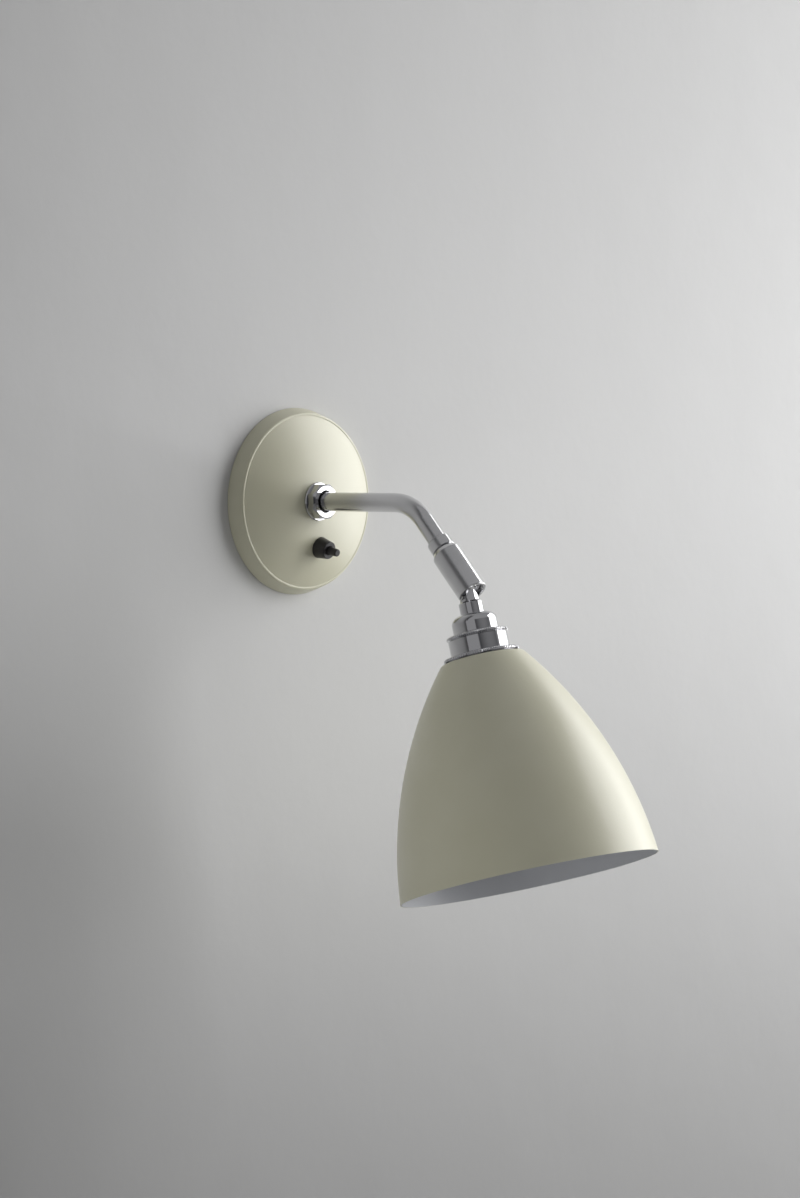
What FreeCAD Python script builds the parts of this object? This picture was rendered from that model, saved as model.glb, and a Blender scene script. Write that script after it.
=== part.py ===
# Bedside wall reading lamp, in millimetres, +Z up.
#
# The origin is the centre of the wall plate's back face, on the wall. The wall is the plane y = 0
# and the lamp stands out from it along -Y. The arm turns about the Y axis.
#
# Four local frames carry the pieces. In each, the piece's own axis is the local Z axis:
#   WALL     local Z points straight out of the wall, local Y points up
#   SWITCH   local Z points out of the dome of the wall plate, through the push button
#   KNUCKLE  starts at the arm's corner, local Z points down the arm's sloping part
#   HEAD     starts at the ball's centre, local Z points down through lamp holder and shade
import FreeCAD, Part
import os
from math import acos, asin, cos, pi, radians, sin, sqrt, tan

V = FreeCAD.Vector

# --- Wall plate -----------------------------------------------------------------------------
PLATE_R = 59.5            # radius at the wall
PLATE_EDGE_R = 56.5       # radius of the front edge
BEAD_R, BEAD_FOOT_R = 55.73, 54.6
BEAD_PROUD = 0.5          # a small bead runs round the dome's edge and stands this far out of it
PLATE_APEX = 20.9         # how far the dome's middle stands out of the wall
DOME_R = 141.3            # sphere radius of the domed face
PLATE_SHEET = 1.2
INNER_ROUND = 0.7
BUSH_HOLE_R = 8.1
SWITCH_HOLE_R = 5.05

# --- Gland nut, bush and strap ---------------------------------------------------------------
NUT_FLANGE_R = 12.25
NUT_CORNER_R = 11.75      # half the size across the eight corners
NUT_BACK, NUT_FLANGE_TOP, NUT_FACETS_TOP, NUT_FRONT = 20.42, 21.9, 26.3, 28.0
NUT_FACE_R = 10.0
NUT_LIP_R = 7.0           # hole in the front face
NUT_LIP_BACK = 25.9
BUSH_R, BUSH_BORE_R = 8.0, 7.2
BUSH_FLANGE_R = 12.0
LINER_TOP = 25.4
STRAP_BACK, STRAP_FRONT = 12.5, 14.0
STRAP_HALF_WIDTH = 12.5
STRAP_MIDDLE = 22.0       # half length of the raised middle
STRAP_FOOT = 42.0         # half length over the feet
STRAP_TAB_TOP = 32.0
STRAP_TAB_HALF = 11.0
WALL_SLOT_X = 30.0        # the two wall screws stand 60 mm apart
WALL_SLOT_R = 2.4
WALL_SLOT_LENGTH = 9.0
LOCKNUT_FRONT = 19.1
LOCKNUT_R = 12.4          # across the corners, halved
FLANGE_BACK = 10.5
STOP_PIN_CIRCLE = 14.0
STOP_PIN_R = 1.5
STOP_FINGER_HALF = 2.0
STOP_FINGER_TIP = 15.5
ARM_SWING = 90.0          # each way

# --- Push switch -----------------------------------------------------------------------------
SWITCH_RADIUS = 29.64     # from the plate's centre
SWITCH_CLOCK = 7.4        # degrees round from straight below the arm
COLLAR_BACK_R, COLLAR_FRONT_R, COLLAR_LENGTH = 6.85, 5.55, 8.7
COLLAR_HOLE_R = 3.15
SWITCH_NECK_R, SWITCH_NECK_TOP = 5.0, 5.6
SWITCH_BODY_R, SWITCH_BODY_TOP, SWITCH_BODY_END = 9.3, -1.6, -13.2
SWITCH_WALL = 1.4
BUTTON_R, BUTTON_TIP_R = 2.75, 2.4
BUTTON_OUT = 7.2          # how far it stands out of the collar
BUTTON_FLANGE_R = 4.5
BUTTON_FLANGE_TOP, BUTTON_FLANGE_BACK = -3.1, -4.6
SPRING_WIRE_R, SPRING_R, SPRING_TURNS = 0.3, 3.2, 5

# --- Terminal block and leads ----------------------------------------------------------------
BLOCK_HALF, BLOCK_LOW, BLOCK_HIGH, BLOCK_REAR = 13.0, 15.5, 31.0, 2.8
POLE_PITCH, POLE_HEIGHT, POLE_R, POLE_BORE_R = 8.5, 6.4, 2.9, 1.9
CLAMP_INSET = 4.0         # of the clamping screws from each end of a pole
CLAMP_R, CLAMP_HEAD_R, CLAMP_WELL_R = 1.3, 1.6, 1.7
LEAD_R, LEAD_BEND = 0.8, 1.7
LEAD_HEIGHT = 3.3         # how far the arm's leads lie off the wall
SWITCH_LEAD_HEIGHT = 1.5  # the switch leads cross under them
EARTH_X, EARTH_Z = -16.4, 8.6
BLOCK_SCREW_R, BLOCK_SCREW_HEAD_R, BLOCK_SCREW_HEAD = 1.25, 2.2, 1.1
EARTH_SCREW_R, EARTH_HEAD_R, EARTH_HEAD = 2.0, 3.4, 2.3
EARTH_TAG_R, EARTH_TAG = 4.0, 0.9

# --- Arm ---------------------------------------------------------------------------------------
TUBE_R, TUBE_BORE_R = 6.0, 5.0
ARM_REACH = 104.0         # wall to the corner of the arm's centre line
ARM_DROP = 47.0           # degrees below the horizontal
ARM_BEND = 34.0
TUBE_REAR = 5.0
STOP_COLLAR_FRONT = 9.9
STOP_COLLAR_BACK = 5.4
STOP_COLLAR_R = 11.0
FLEX_R = 2.6
RUNNING_GAP = 0.05

# --- Knuckle -----------------------------------------------------------------------------------
COLLAR_TOP, COLLAR_END, GROOVE_END = 31.9, 39.3, 40.2
COLLAR_R, GROOVE_R = 7.55, 6.6
SPIGOT_R, SPIGOT_END = 5.0, 51.4
TUBE_SEAT = 37.5
SLEEVE_R, SLEEVE_TOP, SLEEVE_MOUTH = 9.4, 43.0, 74.6
SLEEVE_SHOULDER_R = 7.85
SLEEVE_BORE_R = 7.6
CAP_SHANK_END = 48.5
CLIP_TOP, CLIP_END, CLIP_INNER_R, CLIP_OUTER_R = 49.3, 50.3, 4.3, 5.9
BALL_FROM_CORNER = 66.3
BALL_R = 7.5
SEAT_R = 6.85
SLOT_HALF = 6.45
SLOT_END = 70.15          # centre of the slot's round end
CUP_TOP, CUP_END = 57.6, 62.6
PRESS_WIRE_R, PRESS_R, PRESS_TURNS = 0.45, 6.75, 4      # the spring that presses the cup on the ball

# --- Head --------------------------------------------------------------------------------------
HEAD_LEAN = 16.0          # degrees from straight down, away from the wall
WAIST_R, FLARE_R, NECK_R = 5.4, 6.3, 7.3
NECK_TOP, CAP_TOP = 12.0, 20.2
SHANK_R, SHANK_END = 5.0, 26.0
CAP_R, CAP_SHOULDER, CAP_WALL = 14.1, 5.0, 1.2
RING_R, RING_TOP, RING_END = 19.05, 31.8, 34.4
SKIRT_R, SKIRT_WALL, SKIRT_END = 18.46, 1.3, 62.0
SHADE_RING_R, SHADE_RING_TOP, SHADE_RING_END = 23.3, 44.6, 47.2
SHADE_TOP, SHADE_RIM = 47.8, 185.7
SHADE_RIM_R = 80.0
SHADE_ARC = 253.0         # radius of the bell's side
SHADE_RIM_FLARE = 4.5     # degrees by which the side still opens at the rim
SHADE_SHEET = 1.0
SHADE_SHOULDER = 3.2
SHADE_HOLE_R = 18.6
INSERT_TOP, INSERT_END = 35.8, 43.0
CONTACT_SCREW_X, CONTACT_SCREW_R, CONTACT_SCREW = 9.0, 1.2, 4.0
SCREW_SHELL_R, SCREW_SHELL_WALL, SCREW_SHELL_END = 14.2, 0.6, 60.0
BULB_TIP, BULB_SHELL_TOP, BULB_SHELL_END = 46.0, 49.5, 68.0
BULB_SHELL_R = 13.1
GLOBE_R, GLOBE_CENTRE, GLOBE_JOIN = 30.0, 121.0, 17.4
GLOBE_NECK_R, GLOBE_NECK = 22.0, 92.0
BULB_WALL = 1.2

# --- Frames ------------------------------------------------------------------------------------
X_AXIS = V(1, 0, 0)


def frame(origin, turn_about_x):
    return FreeCAD.Placement(origin, FreeCAD.Rotation(X_AXIS, turn_about_x))


def dome_height(radius, offset=0.0):
    """How far the domed face, or its inside at a negative offset, stands out of the wall."""
    sphere = DOME_R + offset
    return PLATE_APEX - DOME_R + sqrt(sphere ** 2 - radius ** 2)


def switch_frame():
    clock = radians(SWITCH_CLOCK)
    x, z = SWITCH_RADIUS * sin(clock), -SWITCH_RADIUS * cos(clock)
    height = dome_height(SWITCH_RADIUS)
    outward = V(x, -(height - PLATE_APEX + DOME_R), z)
    return FreeCAD.Placement(V(x, -height, z), FreeCAD.Rotation(V(0, 0, 1), outward))


CORNER = V(0, -ARM_REACH, 0)
ARM_DIRECTION = V(0, -cos(radians(ARM_DROP)), -sin(radians(ARM_DROP)))
BALL_CENTRE = CORNER + ARM_DIRECTION * BALL_FROM_CORNER
WALL = frame(V(0, 0, 0), 90)
SWITCH = switch_frame()
KNUCKLE = frame(CORNER, 90 + ARM_DROP)
HEAD = frame(BALL_CENTRE, 180 - HEAD_LEAN)


# --- Shapes that repeat ------------------------------------------------------------------------
def turned(outline):
    """A solid turned about local Z. A corner is (r, z), or (r_mid, z_mid, r, z) after an arc."""
    here = V(outline[0][-2], 0, outline[0][-1])
    edges = []
    for corner in outline[1:] + outline[:1]:
        there = V(corner[-2], 0, corner[-1])
        if len(corner) == 4:
            middle = V(corner[0], 0, corner[1])
            edges.append(Part.Arc(here, middle, there).toShape())
        else:
            edges.append(Part.LineSegment(here, there).toShape())
        here = there
    face = Part.Face(Part.Wire(edges))
    return face.revolve(V(0, 0, 0), V(0, 0, 1), 360)


def ring(inner_r, outer_r, low, high):
    return turned([(inner_r, low), (outer_r, low), (outer_r, high), (inner_r, high)])


def rod(radius, low, high, x=0.0, y=0.0):
    return Part.makeCylinder(radius, high - low, V(x, y, low))


def box(x_low, x_high, y_low, y_high, low, high):
    return Part.makeBox(x_high - x_low, y_high - y_low, high - low, V(x_low, y_low, low))


def prism(sides, corner_r, low, high):
    """An upright prism with a flat facing local X."""
    step = 2 * pi / sides
    corners = [V(corner_r * cos((i + 0.5) * step), corner_r * sin((i + 0.5) * step), low)
               for i in range(sides)]
    face = Part.Face(Part.makePolygon(corners + corners[:1]))
    return face.extrude(V(0, 0, high - low))


def rounded(solid, radius, edge_r, edge_z):
    """Round the circular edge of the given radius and height."""
    edges = [edge for edge in solid.Edges
             if isinstance(edge.Curve, Part.Circle)
             and abs(edge.Curve.Radius - edge_r) < 0.01
             and abs(edge.Curve.Center.z - edge_z) < 0.01]
    return solid.makeFillet(radius, edges)


def bent_path(points, bend):
    """A wire of straight runs through the points, joined by tangent arcs of one radius."""
    points = [V(*point) for point in points]
    here = points[0]
    edges = []
    for before, corner, after in zip(points, points[1:], points[2:]):
        back = (before - corner).normalize()
        ahead = (after - corner).normalize()
        half = acos(back.dot(ahead)) / 2
        enter = corner + back * (bend / tan(half))
        leave = corner + ahead * (bend / tan(half))
        middle = corner + (back + ahead).normalize() * (bend / sin(half) - bend)
        edges.append(Part.LineSegment(here, enter).toShape())
        edges.append(Part.Arc(enter, middle, leave).toShape())
        here = leave
    edges.append(Part.LineSegment(here, points[-1]).toShape())
    return Part.Wire(edges)


def bent_rod(points, bend, radius):
    start = V(*points[0])
    heading = V(*points[1]) - start
    section = Part.Wire(Part.makeCircle(radius, start, heading))
    return bent_path(points, bend).makePipeShell([section], True, False)


def coil(wire_r, coil_r, turns, low, high):
    """A compression spring about local Z: quarter-turn arcs, the wire's centre from low to high."""
    def centre(turn):
        angle = 2 * pi * turn
        return V(coil_r * cos(angle), coil_r * sin(angle), low + (high - low) * turn / turns)

    quarters = [i / 4 for i in range(4 * turns)]
    arcs = [Part.Arc(centre(turn), centre(turn + 1 / 8), centre(turn + 1 / 4)).toShape()
            for turn in quarters]
    heading = arcs[0].tangentAt(arcs[0].FirstParameter)
    section = Part.Wire(Part.makeCircle(wire_r, centre(0), heading))
    return Part.Wire(arcs).makePipeShell([section], True, False)


def screw(head_r, shank_r, head, seat, tip, x=0.0, y=0.0):
    """A slotted cheese-head screw with its head from head to seat and its tip at tip."""
    low, high = min(head, seat), max(head, seat)
    shank_low, shank_high = min(seat, tip), max(seat, tip)
    body = rod(head_r, low, high, x, y).fuse(rod(shank_r, shank_low, shank_high, x, y))
    slot_depth = 0.4 * (high - low)
    slot_low = head if head < seat else head - slot_depth
    slot = box(x - head_r - 1, x + head_r + 1, y - 0.35, y + 0.35, slot_low, slot_low + slot_depth)
    return body.cut(slot).removeSplitter()


def save(name, place, *solids):
    """Write one node, its solids moved from the local frame to their place."""
    placed = []
    for solid in solids:
        solid = solid.copy()
        solid.Placement = place.multiply(solid.Placement)
        placed.append(solid)
    shape = placed[0] if len(placed) == 1 else Part.makeCompound(placed)
    shape.exportStep("parts/" + name + ".step")


# --- On the wall -------------------------------------------------------------------------------
def wall_plate():
    inner_r = PLATE_R - PLATE_SHEET
    inner_edge_r = PLATE_EDGE_R - PLATE_SHEET
    inner_edge_z = dome_height(inner_edge_r, -PLATE_SHEET)
    half_r = PLATE_EDGE_R / 2
    shell = turned([
        (PLATE_R, 0),
        (PLATE_EDGE_R, dome_height(PLATE_EDGE_R)),
        (BEAD_R, dome_height(BEAD_R) + BEAD_PROUD, BEAD_FOOT_R, dome_height(BEAD_FOOT_R)),
        (half_r, dome_height(half_r), BUSH_HOLE_R, dome_height(BUSH_HOLE_R)),
        (BUSH_HOLE_R, dome_height(BUSH_HOLE_R, -PLATE_SHEET)),
        (half_r, dome_height(half_r, -PLATE_SHEET), inner_edge_r, inner_edge_z),
        (inner_r, 0),
    ])
    shell = rounded(shell, INNER_ROUND, inner_edge_r, inner_edge_z)
    shell.Placement = WALL
    switch_hole = rod(SWITCH_HOLE_R, -6, 6)
    switch_hole.Placement = SWITCH
    save("wall_plate", FreeCAD.Placement(), shell.cut(switch_hole))


def gland_nut():
    """Round flange, eight flats with a chamfer, and a bore with a lip that hides the bush."""
    flange = turned([
        (BUSH_R, NUT_BACK + 0.3),
        (NUT_FLANGE_R, NUT_BACK),
        (NUT_FLANGE_R, NUT_FLANGE_TOP - 0.5),
        (NUT_FLANGE_R - 0.4, NUT_FLANGE_TOP),
        (BUSH_R, NUT_FLANGE_TOP),
    ])
    chamfer = turned([
        (0, NUT_FLANGE_TOP),
        (NUT_CORNER_R + 0.1, NUT_FLANGE_TOP),
        (NUT_CORNER_R + 0.1, NUT_FACETS_TOP),
        (NUT_FACE_R, NUT_FRONT),
        (0, NUT_FRONT),
    ])
    flats = prism(8, NUT_CORNER_R, NUT_FLANGE_TOP, NUT_FRONT).common(chamfer)
    bore = rod(BUSH_R, NUT_BACK - 1, NUT_LIP_BACK)
    lip = turned([
        (0, NUT_LIP_BACK),
        (NUT_LIP_R, NUT_LIP_BACK),
        (NUT_LIP_R, NUT_FRONT - 0.4),
        (NUT_LIP_R + 0.4, NUT_FRONT),
        (0, NUT_FRONT),
    ])
    nut = flange.fuse(flats).cut(bore).cut(lip).removeSplitter()
    save("gland_nut", WALL, nut)


def mounting_strap():
    """A hat-shaped strap: two feet on the wall, a raised middle, and a tab for the connector."""
    sheet = STRAP_FRONT - STRAP_BACK
    side = [(STRAP_FOOT, 0), (STRAP_FOOT, sheet), (STRAP_MIDDLE, sheet),
            (STRAP_MIDDLE, STRAP_FRONT)]
    inside = [(STRAP_MIDDLE - sheet, STRAP_BACK), (STRAP_MIDDLE - sheet, 0)]
    right = side + [(0, STRAP_FRONT), (0, STRAP_BACK)] + inside
    corners = [V(x, -STRAP_HALF_WIDTH, z) for x, z in right]
    half = Part.Face(Part.makePolygon(corners + corners[:1]))
    half = half.extrude(V(0, 2 * STRAP_HALF_WIDTH, 0))
    strap = half.fuse(half.mirror(V(0, 0, 0), X_AXIS))
    tab = box(-STRAP_TAB_HALF, STRAP_TAB_HALF, STRAP_HALF_WIDTH, STRAP_TAB_TOP,
              STRAP_BACK, STRAP_FRONT)
    strap = strap.fuse(tab).cut(rod(BUSH_R, STRAP_BACK - 1, STRAP_FRONT + 1))
    reach = WALL_SLOT_LENGTH / 2 - WALL_SLOT_R
    for side_x in (-WALL_SLOT_X, WALL_SLOT_X):
        slot = box(side_x - reach, side_x + reach, -WALL_SLOT_R, WALL_SLOT_R, -1, sheet + 1)
        for end in (-reach, reach):
            slot = slot.fuse(rod(WALL_SLOT_R, -1, sheet + 1, side_x + end))
        strap = strap.cut(slot)
    screw_holes = [(EARTH_X, EARTH_Z, EARTH_SCREW_R),
                   (POLE_PITCH / 2, block_middle(), BLOCK_SCREW_R)]
    for x, y, radius in screw_holes:
        strap = strap.cut(rod(radius, STRAP_BACK - 1, STRAP_FRONT + 1, x, y))
    for x, y in stop_pin_places():
        strap = strap.cut(rod(STOP_PIN_R, STRAP_BACK - 1, STRAP_FRONT + 1, x, y))
    save("mounting_strap", WALL, strap.removeSplitter())


def block_middle():
    return (BLOCK_LOW + BLOCK_HIGH) / 2


def stop_pin_places():
    """The finger points straight down at rest and meets a pin after the swing either way."""
    beside = asin((STOP_FINGER_HALF + STOP_PIN_R + RUNNING_GAP) / STOP_PIN_CIRCLE)
    angle = radians(ARM_SWING) + beside
    x, y = STOP_PIN_CIRCLE * sin(angle), -STOP_PIN_CIRCLE * cos(angle)
    return [(-x, y), (x, y)]


def bush_and_pins():
    bush = turned([
        (BUSH_BORE_R, FLANGE_BACK),
        (BUSH_FLANGE_R, FLANGE_BACK),
        (BUSH_FLANGE_R, STRAP_BACK),
        (BUSH_R, STRAP_BACK),
        (BUSH_R, LINER_TOP),
        (BUSH_BORE_R, LINER_TOP),
    ])
    save("swivel_bush", WALL, bush)
    save("bush_liner", WALL, ring(TUBE_R + RUNNING_GAP, BUSH_BORE_R, FLANGE_BACK, LINER_TOP))
    locknut = prism(6, LOCKNUT_R, STRAP_FRONT, LOCKNUT_FRONT)
    save("bush_locknut", WALL, locknut.cut(rod(BUSH_R, STRAP_FRONT, LOCKNUT_FRONT)))
    pins = [rod(STOP_PIN_R, STOP_COLLAR_BACK + 0.6, STRAP_FRONT, x, y)
            for x, y in stop_pin_places()]
    save("stop_pins", WALL, *pins)


def connector():
    """Three brass tubes in a moulded block; two clamping screws reach into each tube."""
    def along_pole(radius, x):
        start = V(x, BLOCK_LOW, POLE_HEIGHT)
        return Part.makeCylinder(radius, BLOCK_HIGH - BLOCK_LOW, start, V(0, 1, 0))

    block = box(-BLOCK_HALF, BLOCK_HALF, BLOCK_LOW, BLOCK_HIGH, BLOCK_REAR, STRAP_BACK)
    clamp_head = BLOCK_REAR + 0.1
    tubes, screws = [], []
    for x in (-POLE_PITCH, 0, POLE_PITCH):
        block = block.cut(along_pole(POLE_R, x))
        tube = along_pole(POLE_R, x).cut(along_pole(POLE_BORE_R, x))
        for y in (BLOCK_LOW + CLAMP_INSET, BLOCK_HIGH - CLAMP_INSET):
            block = block.cut(rod(CLAMP_WELL_R, BLOCK_REAR - 1, POLE_HEIGHT - POLE_BORE_R, x, y))
            tube = tube.cut(rod(CLAMP_R, BLOCK_REAR, POLE_HEIGHT, x, y))
            screws.append(screw(CLAMP_HEAD_R, CLAMP_R, clamp_head, clamp_head + 0.6,
                                POLE_HEIGHT - 1.0, x, y))
        tubes.append(tube)
    x, y = POLE_PITCH / 2, block_middle()
    seat = BLOCK_REAR + BLOCK_SCREW_HEAD
    fixing = screw(BLOCK_SCREW_HEAD_R, BLOCK_SCREW_R, BLOCK_REAR, seat, STRAP_FRONT, x, y)
    block = block.cut(rod(BLOCK_SCREW_HEAD_R, BLOCK_REAR - 1, seat, x, y))
    block = block.cut(rod(BLOCK_SCREW_R, BLOCK_REAR, STRAP_BACK, x, y))
    save("terminal_block", WALL, block.removeSplitter())
    save("terminal_tubes", WALL, *tubes)
    save("terminal_screws", WALL, *screws)
    save("block_screw", WALL, fixing)


def earth_terminal():
    tag_back = STRAP_BACK - EARTH_TAG
    save("earth_screw", WALL, screw(EARTH_HEAD_R, EARTH_SCREW_R, tag_back - EARTH_HEAD, tag_back,
                                    STRAP_FRONT, EARTH_X, EARTH_Z))
    tag = rod(EARTH_TAG_R, tag_back, STRAP_BACK, EARTH_X, EARTH_Z)
    tail = box(EARTH_X - 1.6, EARTH_X + 0.4, 2.0, EARTH_Z, tag_back, STRAP_BACK)
    hole = rod(EARTH_SCREW_R, STRAP_BACK - 1, STRAP_BACK + 1, EARTH_X, EARTH_Z)
    save("earth_tag", WALL, tag.fuse(tail).cut(hole).removeSplitter())


def plate_leads():
    """Single wires from the arm to the connector, the earth tag and the switch."""
    low, in_tube = LEAD_HEIGHT, TUBE_REAR + 0.3

    def into_pole(x, height):
        return [(x, 12.0, height), (x, BLOCK_LOW - 0.5, POLE_HEIGHT), (x, BLOCK_LOW + 4.5, POLE_HEIGHT)]

    def to_pole(x_start, x_pole):
        start = [(x_start, 0.9, in_tube), (x_start, 0.9, low)]
        return start + into_pole(x_pole, low)

    live = to_pole(1.7, POLE_PITCH - 0.9)
    neutral = to_pole(-1.7, 0)
    earth_x = EARTH_X - 0.6
    earth = [(0, -1.9, in_tube), (0, -1.9, low), (earth_x, -9.5, low),
             (earth_x, -2.5, STRAP_BACK - 1.7), (earth_x, 4.5, STRAP_BACK - 1.7)]
    save("lead_live", WALL, bent_rod(live, LEAD_BEND, LEAD_R))
    save("lead_neutral", WALL, bent_rod(neutral, LEAD_BEND, LEAD_R))
    save("lead_earth", WALL, bent_rod(earth, LEAD_BEND, LEAD_R))
    switch_leads = []
    for side, x_pole in [(-1, -POLE_PITCH), (1, POLE_PITCH + 0.9)]:
        x_tag = SWITCH.Base.x + 3.5 * side - 0.3
        route = into_pole(x_pole, SWITCH_LEAD_HEIGHT)[::-1]
        route += [(side * 15.5, y, SWITCH_LEAD_HEIGHT) for y in (6, -11)]
        route += [(x_tag, -17.5, SWITCH_LEAD_HEIGHT + 0.5), (x_tag, -22.6, LEAD_HEIGHT + 0.2)]
        switch_leads.append(bent_rod(route, LEAD_BEND, LEAD_R))
    save("switch_leads", WALL, *switch_leads)


# --- Push switch -------------------------------------------------------------------------------
def push_switch():
    inner_r = SWITCH_BODY_R - SWITCH_WALL
    button_bore_r = BUTTON_R + 0.1
    base_top = SWITCH_BODY_END + 1.6
    housing = turned([
        (button_bore_r, SWITCH_NECK_TOP),
        (SWITCH_NECK_R, SWITCH_NECK_TOP),
        (SWITCH_NECK_R, SWITCH_BODY_TOP),
        (SWITCH_BODY_R, SWITCH_BODY_TOP),
        (SWITCH_BODY_R, SWITCH_BODY_END),
        (inner_r, SWITCH_BODY_END),
        (inner_r, SWITCH_BODY_TOP - SWITCH_WALL),
        (button_bore_r, SWITCH_BODY_TOP - SWITCH_WALL),
    ])
    save("switch_body", SWITCH, housing)
    save("switch_base", SWITCH, rod(inner_r, SWITCH_BODY_END, base_top))
    tags = [rod(1.5, SWITCH_BODY_END - 1.0, SWITCH_BODY_END, x, 4.5) for x in (-3.5, 3.5)]
    save("switch_terminals", SWITCH, *tags)
    collar = turned([
        (SWITCH_NECK_R, 0.02),
        (COLLAR_BACK_R, 0.02),
        (COLLAR_FRONT_R + 0.08, COLLAR_LENGTH - 0.5),
        (COLLAR_FRONT_R - 0.35, COLLAR_LENGTH),
        (COLLAR_HOLE_R, COLLAR_LENGTH),
        (COLLAR_HOLE_R, SWITCH_NECK_TOP),
        (SWITCH_NECK_R, SWITCH_NECK_TOP),
    ])
    save("switch_collar", SWITCH, collar)
    tip = COLLAR_LENGTH + BUTTON_OUT
    stem_end = BUTTON_FLANGE_BACK - 3.0
    plunger = turned([
        (0, tip),
        (BUTTON_TIP_R - 0.6, tip),
        (BUTTON_TIP_R - 0.18, tip - 0.18, BUTTON_TIP_R, tip - 0.6),
        (BUTTON_R, COLLAR_LENGTH + 0.6),
        (BUTTON_R, BUTTON_FLANGE_TOP),
        (BUTTON_FLANGE_R, BUTTON_FLANGE_TOP),
        (BUTTON_FLANGE_R, BUTTON_FLANGE_BACK),
        (1.6, BUTTON_FLANGE_BACK),
        (1.6, stem_end),
        (0, stem_end),
    ])
    save("switch_plunger", SWITCH, plunger)
    spring = coil(SPRING_WIRE_R, SPRING_R, SPRING_TURNS, base_top + SPRING_WIRE_R,
                  BUTTON_FLANGE_BACK - SPRING_WIRE_R)
    save("switch_spring", SWITCH, spring)


# --- Arm ---------------------------------------------------------------------------------------
def arm():
    def centre_line(rear, along):
        return [V(0, -rear, 0), CORNER, CORNER + ARM_DIRECTION * along]

    here = FreeCAD.Placement()
    outside = bent_rod(centre_line(TUBE_REAR, TUBE_SEAT), ARM_BEND, TUBE_R)
    inside = bent_rod(centre_line(TUBE_REAR, TUBE_SEAT), ARM_BEND, TUBE_BORE_R)
    save("arm_tube", here, outside.cut(inside))
    flex = bent_rod(centre_line(TUBE_REAR + 0.6, SPIGOT_END + 3.0), ARM_BEND, FLEX_R)
    save("flex_in_arm", here, flex)
    stop_collar = ring(TUBE_R, STOP_COLLAR_R, STOP_COLLAR_BACK, STOP_COLLAR_FRONT)
    finger = box(-STOP_FINGER_HALF, STOP_FINGER_HALF, -STOP_FINGER_TIP, -STOP_COLLAR_R + 1.0,
                 STOP_COLLAR_BACK, STOP_COLLAR_FRONT)
    save("stop_collar", WALL, stop_collar.fuse(finger).removeSplitter())
    save("friction_washer", WALL,
         ring(TUBE_R, STOP_COLLAR_R - 0.6, STOP_COLLAR_FRONT, FLANGE_BACK - RUNNING_GAP))
    spindle = turned([
        (TUBE_R, COLLAR_TOP),
        (COLLAR_R - 0.7, COLLAR_TOP),
        (COLLAR_R, COLLAR_TOP + 0.7),
        (COLLAR_R, COLLAR_END - 0.2),
        (COLLAR_R - 0.2, COLLAR_END),
        (GROOVE_R, COLLAR_END),
        (GROOVE_R, GROOVE_END),
        (SPIGOT_R, GROOVE_END),
        (SPIGOT_R, CLIP_TOP),
        (CLIP_INNER_R, CLIP_TOP),
        (CLIP_INNER_R, CLIP_END),
        (SPIGOT_R, CLIP_END),
        (SPIGOT_R, SPIGOT_END),
        (FLEX_R, SPIGOT_END),
        (FLEX_R, TUBE_SEAT),
        (TUBE_R, TUBE_SEAT),
    ])
    save("knuckle_spindle", KNUCKLE, spindle)
    clip = ring(CLIP_INNER_R, CLIP_OUTER_R, CLIP_TOP, CLIP_END)
    save("spindle_clip", KNUCKLE, clip.cut(box(0, 8, -1.2, 1.2, CLIP_TOP, CLIP_END)))


# --- Knuckle sleeve ----------------------------------------------------------------------------
def knuckle():
    bore_r = SPIGOT_R + RUNNING_GAP
    cap_top = GROOVE_END + 0.1
    cap = turned([
        (bore_r, cap_top),
        (SLEEVE_SHOULDER_R - 0.2, cap_top),
        (SLEEVE_SHOULDER_R, cap_top + 0.2),
        (SLEEVE_R, SLEEVE_TOP),
        (SLEEVE_BORE_R, SLEEVE_TOP),
        (SLEEVE_BORE_R, CAP_SHANK_END),
        (bore_r, CAP_SHANK_END),
    ])
    save("sleeve_cap", KNUCKLE, cap)
    washer_end = CLIP_TOP - 0.1
    save("thrust_washer", KNUCKLE, ring(bore_r, SLEEVE_BORE_R - 0.3, CAP_SHANK_END, washer_end))
    spring = coil(PRESS_WIRE_R, PRESS_R, PRESS_TURNS, washer_end + PRESS_WIRE_R,
                  CUP_TOP - PRESS_WIRE_R)
    save("friction_spring", KNUCKLE, spring)
    ball_room = Part.makeSphere(BALL_R + 0.08, V(0, 0, BALL_FROM_CORNER))
    cup = ring(4.0, SLEEVE_BORE_R, CUP_TOP, CUP_END).cut(ball_room)
    save("ball_cup", KNUCKLE, cup)
    seat = BALL_FROM_CORNER + 3.2
    sleeve = turned([
        (SLEEVE_BORE_R, SLEEVE_TOP),
        (SLEEVE_R, SLEEVE_TOP),
        (SLEEVE_R, SLEEVE_MOUTH - 0.3),
        (SLEEVE_R - 0.3, SLEEVE_MOUTH),
        (SLEEVE_BORE_R + 0.3, SLEEVE_MOUTH),
        (SLEEVE_BORE_R, SLEEVE_MOUTH - 0.3),
        (SLEEVE_BORE_R, seat + 1.7),
        (SEAT_R, seat + 1.0),
        (SEAT_R, seat),
        (SLEEVE_BORE_R, seat - 1.5),
    ])
    slot = Part.makeCylinder(SLOT_HALF, SLEEVE_R + 2, V(0, 0, SLOT_END), V(0, -1, 0))
    slot = slot.fuse(box(-SLOT_HALF, SLOT_HALF, -SLEEVE_R - 2, 0, SLOT_END, SLEEVE_MOUTH + 1))
    save("knuckle_sleeve", KNUCKLE, sleeve.cut(slot.removeSplitter()))


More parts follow.
